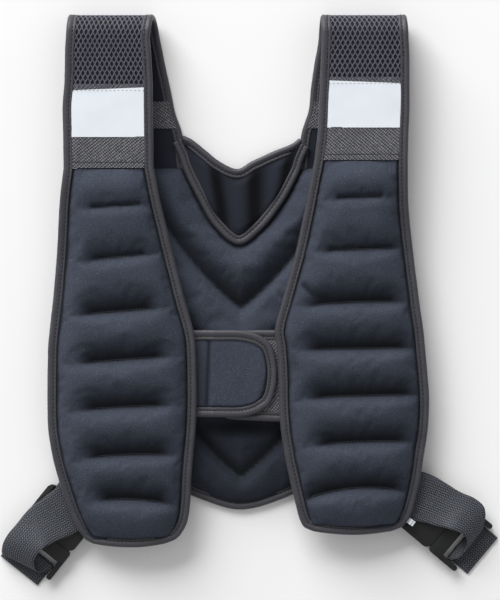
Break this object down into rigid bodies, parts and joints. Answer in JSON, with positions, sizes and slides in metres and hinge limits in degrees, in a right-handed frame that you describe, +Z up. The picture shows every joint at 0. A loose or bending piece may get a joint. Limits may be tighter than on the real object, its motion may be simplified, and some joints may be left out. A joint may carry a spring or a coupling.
{
  "type": "weighted vest",
  "caption": "Padded weighted vest lying on its back, with quilted front halves, mesh shoulder straps, a chest flap and side webbing with fastened buckles.",
  "frame": {"origin": "On the flat outside of the back panel, where the vest lies on the floor, on the back's middle line and 380 mm below the shoulder folds.", "axes": "+X across the vest to the picture's right, +Y from the waist to the shoulders, +Z up from the floor through the back to the front halves."},
  "size_m": [0.5202, 0.5959, 0.0506],
  "materials": {
    "neoprene": "brushed dark blue-grey jersey over neoprene padding",
    "smooth_neoprene": "smooth dark knit over thin neoprene",
    "binding": "folded stretch tape with a row of stitches",
    "air_mesh": "open diamond mesh over a dark backing",
    "twill": "coarse woven tape",
    "reflective": "pale silver reflective cloth",
    "webbing": "woven polypropylene webbing",
    "plastic": "fine-grained moulded plastic"
  },
  "bodies": {
    "root": {"back_panel": "neoprene", "back_binding": "binding", "neck_yoke": "smooth_neoprene", "neck_binding": "binding", "yoke_binding": "binding", "front_panel_left": "neoprene", "front_panel_right": "neoprene", "edge_binding_left": "binding", "edge_binding_right": "binding", "strap_lining_left": "smooth_neoprene", "strap_lining_right": "smooth_neoprene", "twill_band_left": "twill", "twill_band_right": "twill", "reflective_patch_left": "reflective", "reflective_patch_right": "reflective", "shoulder_mesh_left": "air_mesh", "shoulder_mesh_right": "air_mesh", "back_band_left": "twill", "back_band_right": "twill", "chest_flap": "neoprene", "chest_flap_binding": "binding", "chest_tab": "twill", "chest_tab_binding": "binding", "side_webbing_left": "webbing", "side_webbing_right": "webbing", "webbing_stub_left": "webbing", "webbing_stub_right": "webbing", "buckle_female_left": "plastic", "buckle_female_right": "plastic", "buckle_male_left": "plastic", "buckle_male_right": "plastic"}
  },
  "joints": []
}
